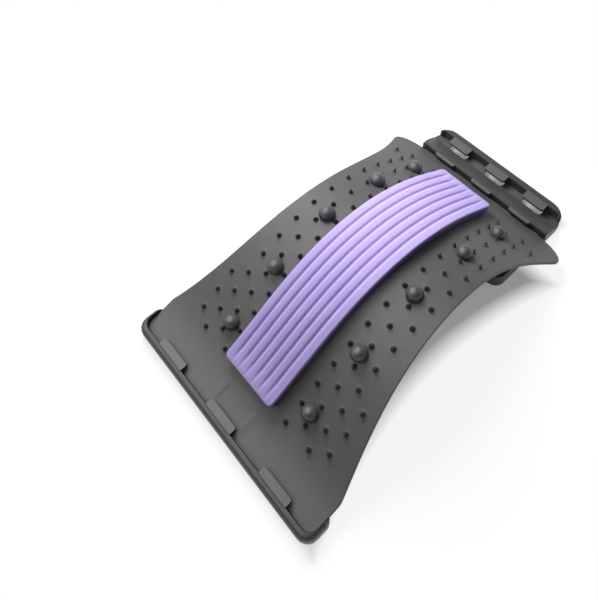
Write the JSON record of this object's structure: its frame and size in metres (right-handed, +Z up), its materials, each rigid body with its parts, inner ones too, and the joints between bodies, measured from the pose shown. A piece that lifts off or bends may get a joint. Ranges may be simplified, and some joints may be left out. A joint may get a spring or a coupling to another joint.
{
  "type": "lumbar back stretcher",
  "caption": "Foam-padded springy arch with massage spikes and magnet beads, hooked into rows on a moulded base that set its height.",
  "frame": {"origin": "on the floor under the middle of the base board", "axes": "+X from the fixed end towards the adjusting rows, +Y across to the left when looking along +X, +Z up"},
  "size_m": [0.4066, 0.25, 0.1005],
  "materials": {
    "base_board": "satin moulded black",
    "arch_board": "satin moulded black",
    "foam_pad": "matte ribbed foam, light purple",
    "pad_tape": "matte double-sided tape",
    "magnet_bead": "polished black",
    "bead_clip": "bright spring steel"
  },
  "bodies": {
    "frame": {"base_board": "base_board", "arch_board": "arch_board", "foam_pad": "foam_pad", "pad_tape": "pad_tape"},
    "bead_row_1": {"magnet_bead_1_left": "magnet_bead", "magnet_bead_1_right": "magnet_bead", "bead_clip_1_left": "bead_clip", "bead_clip_1_right": "bead_clip"},
    "bead_row_2": {"magnet_bead_2_left": "magnet_bead", "magnet_bead_2_right": "magnet_bead", "bead_clip_2_left": "bead_clip", "bead_clip_2_right": "bead_clip"},
    "bead_row_3": {"magnet_bead_3_left": "magnet_bead", "magnet_bead_3_right": "magnet_bead", "bead_clip_3_left": "bead_clip", "bead_clip_3_right": "bead_clip"},
    "bead_row_4": {"magnet_bead_4_left": "magnet_bead", "magnet_bead_4_right": "magnet_bead", "bead_clip_4_left": "bead_clip", "bead_clip_4_right": "bead_clip"},
    "bead_row_5": {"magnet_bead_5_left": "magnet_bead", "magnet_bead_5_right": "magnet_bead", "bead_clip_5_left": "bead_clip", "bead_clip_5_right": "bead_clip"}
  },
  "joints": [
    {"name": "arch_flex_1", "type": "slide", "parent": "frame", "child": "bead_row_1", "axis": [0, 0, 1], "range_m": [-0.00543, 0]},
    {"name": "arch_flex_2", "type": "slide", "parent": "frame", "child": "bead_row_2", "axis": [0, 0, 1], "range_m": [-0.01355, 0]},
    {"name": "arch_flex_3", "type": "slide", "parent": "frame", "child": "bead_row_3", "axis": [0, 0, 1], "range_m": [-0.018, 0], "stiffness_N_per_m": 15000, "deforming": ["arch_board", "foam_pad", "pad_tape"]},
    {"name": "arch_flex_4", "type": "slide", "parent": "frame", "child": "bead_row_4", "axis": [0, 0, 1], "range_m": [-0.01516, 0]},
    {"name": "arch_flex_5", "type": "slide", "parent": "frame", "child": "bead_row_5", "axis": [0, 0, 1], "range_m": [-0.00727, 0]}
  ],
  "couplings": [
    {"joint": "arch_flex_1", "follows": "arch_flex_3", "ratio": 0.301},
    {"joint": "arch_flex_2", "follows": "arch_flex_3", "ratio": 0.7512},
    {"joint": "arch_flex_4", "follows": "arch_flex_3", "ratio": 0.8405},
    {"joint": "arch_flex_5", "follows": "arch_flex_3", "ratio": 0.4028}
  ]
}
